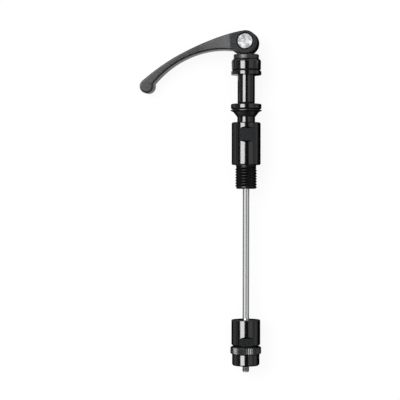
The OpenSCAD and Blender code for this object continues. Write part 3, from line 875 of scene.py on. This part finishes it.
# It looks straight down on the rod, leaned towards the side away from the lever, and with a
# slight roll, which puts the upper end a little to the right of the lower one. Angles are in
# degrees.
CAMERA_LEAN = 6.2
CAMERA_ROLL = 0.1
CAMERA_REACH_M = 0.95
MM_PER_PX = 0.693974
FRAME_PX = 400
SENSOR = 36.0
AIM_Y = -21.9
AIM_SIDE = -31.95
lean = math.radians(CAMERA_LEAN)
roll = math.radians(CAMERA_ROLL)
back = Vector((math.sin(lean), 0, math.cos(lean)))
level = Vector((math.cos(lean), 0, -math.sin(lean)))
upward = Vector((0, 1, 0))
camera_data = bpy.data.cameras.new("camera")
camera_data.sensor_width = SENSOR
camera_data.lens = SENSOR * CAMERA_REACH_M / (FRAME_PX * MM_PER_PX * MM)
camera_data.clip_start = 0.05
camera_data.clip_end = 20
camera = new_object("camera", camera_data)
camera.location = level * AIM_SIDE * MM + upward * AIM_Y * MM + back * CAMERA_REACH_M
camera.rotation_mode = "QUATERNION"
camera.rotation_quaternion = Matrix((
    level * math.cos(roll) + upward * math.sin(roll),
    upward * math.cos(roll) - level * math.sin(roll),
    back)).transposed().to_quaternion()
bpy.context.scene.camera = camera


# Floor, cards and light

# Lengths are in metres. Angles are in degrees from the camera's direction, positive to its right.
FLOOR_WHITE = 0.9
FLOOR_R_M = 4.0
FLOOR_SIDES = 64
CEILING_REACH_M = 1.3
CARD_REACH_M = 1.2
CARD_FACE_TURN = 4
END_HEIGHT_M = 1.3
STRIP_REACH_M = 1.0
BLACK_STRIP = (-46.5, -13.5)
WATTS_PER_RADIANCE = math.pi
ROOM_STRENGTH = 0.8
KEY_PLACE_M = Vector((-0.7, 0.5, 1.3))
KEY_SIZE_M = 1.0
KEY_WATTS = 14.0
scene = bpy.context.scene
scene.view_settings.view_transform = "Standard"
floor_z = min(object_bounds()[0].z, cad_bounds[0].z)


def background_share(tree):
    """1 for rays that come straight, by a reflection or through glass, else 0."""
    path = add(tree, "ShaderNodeLightPath")
    glossy = add(tree, "ShaderNodeMath", {"operation": "MAXIMUM"},
                 {0: path.outputs["Is Camera Ray"], 1: path.outputs["Is Glossy Ray"]})
    return add(tree, "ShaderNodeMath", {"operation": "MAXIMUM"},
               {0: glossy.outputs[0], 1: path.outputs["Is Transmission Ray"]}).outputs[0]


def floor_material():
    """White paper, of which nine tenths shows as plain white: the object's shadow stays faint."""
    material, tree = material_tree("white_paper")
    paper = add(tree, "ShaderNodeBsdfDiffuse", {"Color": linear("#F6F6F6")})
    white = add(tree, "ShaderNodeEmission", {"Color": linear("#FFFFFF"), "Strength": 1.0})
    share = add(tree, "ShaderNodeMath", {"operation": "MULTIPLY", 1: FLOOR_WHITE},
                {0: background_share(tree)})
    mix = add(tree, "ShaderNodeMixShader",
              links={0: share.outputs[0], 1: paper.outputs[0], 2: white.outputs[0]})
    finish_material(tree, mix)
    return material


def stage_piece(name, points, faces, material):
    """A piece of the set, which isn't part of the object."""
    data = bpy.data.meshes.new(name)
    data.from_pydata(points, [], faces)
    data.materials.append(material)
    piece = new_object(name, data)
    piece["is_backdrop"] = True
    return piece


def seen_in_gloss_only(thing):
    """Hides a card or a lamp from all rays but reflections."""
    thing.visible_camera = False
    thing.visible_diffuse = False
    thing.visible_transmission = False
    thing.visible_volume_scatter = False


def card(name, points, faces, strength):
    """A glowing card that only reflections show; a strength of 0 is black cloth."""
    material, tree = material_tree(name)
    glow = add(tree, "ShaderNodeEmission", {"Color": linear("#FFFFFF"), "Strength": strength})
    finish_material(tree, glow)
    piece = stage_piece(name, points, faces, material)
    seen_in_gloss_only(piece)
    piece.visible_shadow = False


def overhead_card(name, start_deg, end_deg, reach, strength, y_low=-0.9, y_high=0.9):
    """A card bent round the rod's axis, between two angles."""
    count = max(1, round((end_deg - start_deg) / CARD_FACE_TURN))
    points = []
    for k in range(count + 1):
        a = math.radians(CAMERA_LEAN + start_deg + (end_deg - start_deg) * k / count)
        for y in (y_low, y_high):
            points.append((reach * math.sin(a), y, reach * math.cos(a) + floor_z))
    card(name, points, [(2 * k, 2 * k + 1, 2 * k + 3, 2 * k + 2) for k in range(count)], strength)


def end_card(name, y, x_low, x_high, strength):
    """An upright card across the rod's axis, which closes the row of cards at one end."""
    card(name, [(x_low, y, floor_z), (x_high, y, floor_z),
                (x_high, y, END_HEIGHT_M), (x_low, y, END_HEIGHT_M)], [(0, 1, 2, 3)], strength)


def floor_card(name, x_low, x_high, y_low, y_high, strength):
    """A card that lies on the floor."""
    z = floor_z + 0.0002
    card(name, [(x_low, y_low, z), (x_high, y_low, z), (x_high, y_high, z), (x_low, y_high, z)],
         [(0, 1, 2, 3)], strength)


def strip_box(name, start_deg, end_deg, y_low, y_high, radiance, receivers):
    """A softbox over the rod that lights only the gloss of some pieces, as one of several
    exposures of the same set would."""
    middle = math.radians(CAMERA_LEAN + (start_deg + end_deg) / 2)
    width = 2 * STRIP_REACH_M * math.tan(math.radians((end_deg - start_deg) / 2))
    data = bpy.data.lights.new(name, "AREA")
    data.shape = "RECTANGLE"
    data.size = width
    data.size_y = y_high - y_low
    data.energy = radiance * WATTS_PER_RADIANCE * width * data.size_y
    lamp = new_object(name, data)
    towards = Vector((math.sin(middle), 0, math.cos(middle)))
    lamp.location = towards * STRIP_REACH_M + upward * (y_low + y_high) / 2
    lamp.rotation_mode = "QUATERNION"
    lamp.rotation_quaternion = Matrix((
        Vector((math.cos(middle), 0, -math.sin(middle))), upward, towards
    )).transposed().to_quaternion()
    seen_in_gloss_only(lamp)
    group = bpy.data.collections.new(name + "_receivers")
    for piece in receivers:
        group.objects.link(piece)
    lamp.light_linking.receiver_collection = group


angles = [2 * math.pi * k / FLOOR_SIDES for k in range(FLOOR_SIDES)]
stage_piece("floor", [(FLOOR_R_M * math.cos(a), FLOOR_R_M * math.sin(a), floor_z) for a in angles],
            [tuple(range(FLOOR_SIDES))], floor_material())
overhead_card("black_ceiling", -97, 83, CEILING_REACH_M, 0.0)
overhead_card("grey_card_left", -97, -66, CARD_REACH_M, 0.36)
overhead_card("grey_card_right", 18, 52, CARD_REACH_M, 1.0)
overhead_card("dim_card_right", 52, 83, CARD_REACH_M, 0.5)
overhead_card("far_card_high", -66, 18, CARD_REACH_M, 0.9, y_low=0.5)
overhead_card("far_card_low", -66, 18, CARD_REACH_M, 0.6, y_high=-0.65)
end_card("black_end_low", -0.92, -0.55, 0.55, 0.0)
end_card("grey_end_low", -0.95, -1.3, 1.3, 0.6)
end_card("black_end_high", 0.92, -0.45, 0.25, 0.0)
end_card("grey_end_high", 0.95, -1.3, 1.3, 0.6)
floor_card("black_cloth_low", -0.034, 0.044, -0.9, -0.103, 0.0)
floor_card("dim_cloth_middle", -0.034, 0.044, -0.103, -0.018, 0.15)
floor_card("black_cloth_left", -0.034, 0.0, -0.018, 0.062, 0.0)
floor_card("black_cloth_right", 0.0, 0.044, -0.018, 0.9, 0.0)
floor_card("grey_cloth_left", -0.16, -0.034, -0.17, 0.045, 0.3)
floor_card("grey_cloth_right", 0.044, 0.16, -0.17, 0.078, 0.3)
floor_card("light_cloth_arm", -0.16, -0.034, 0.045, 0.1, 0.6)
floor_card("light_cloth_head", -0.034, 0.0, 0.062, 0.1, 0.6)


def pieces_of(*materials):
    """The shown pieces whose first material is one of these."""
    return [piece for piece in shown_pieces()
            if piece.data.materials and piece.data.materials[0] in materials]


black_pieces = pieces_of(black, milled, tooled, acetal)
strip_box("strip_on_black", *BLACK_STRIP, -0.4, 0.3, 16.0, black_pieces)
strip_box("far_strip_high", *BLACK_STRIP, 0.7, 1.4, 5.0, black_pieces)
strip_box("far_strip_low", *BLACK_STRIP, -1.3, -0.6, 5.0, black_pieces)
strip_box("strip_on_steel", -66, -12, -0.4, 0.3, 1.3, pieces_of(bright, rolled, gap_shade_steel))
strip_box("strip_on_pin", -60, -8, 0, 0.5, 1.6, pieces_of(faced))
strip_box("strip_on_lever", -72, -28.5, 0.1, 0.5, 7.5, pieces_of(satin))

world = bpy.data.worlds.new("studio")
scene.world = world
world.use_nodes = True
world.node_tree.nodes.clear()
room = add(world.node_tree, "ShaderNodeBackground",
           {"Color": linear("#FFFFFF"), "Strength": ROOM_STRENGTH})
backdrop = add(world.node_tree, "ShaderNodeBackground",
               {"Color": linear("#FFFFFF"), "Strength": 1.0})
world_mix = add(world.node_tree, "ShaderNodeMixShader",
                links={0: background_share(world.node_tree), 1: room.outputs[0],
                       2: backdrop.outputs[0]})
add(world.node_tree, "ShaderNodeOutputWorld", links={"Surface": world_mix.outputs[0]})

key_data = bpy.data.lights.new("key_light", "AREA")
key_data.shape = "SQUARE"
key_data.size = KEY_SIZE_M
key_data.energy = KEY_WATTS
key = new_object("key_light", key_data)
key.location = KEY_PLACE_M
key.rotation_mode = "QUATERNION"
key.rotation_quaternion = KEY_PLACE_M.to_track_quat("Z", "Y")
key.visible_glossy = False
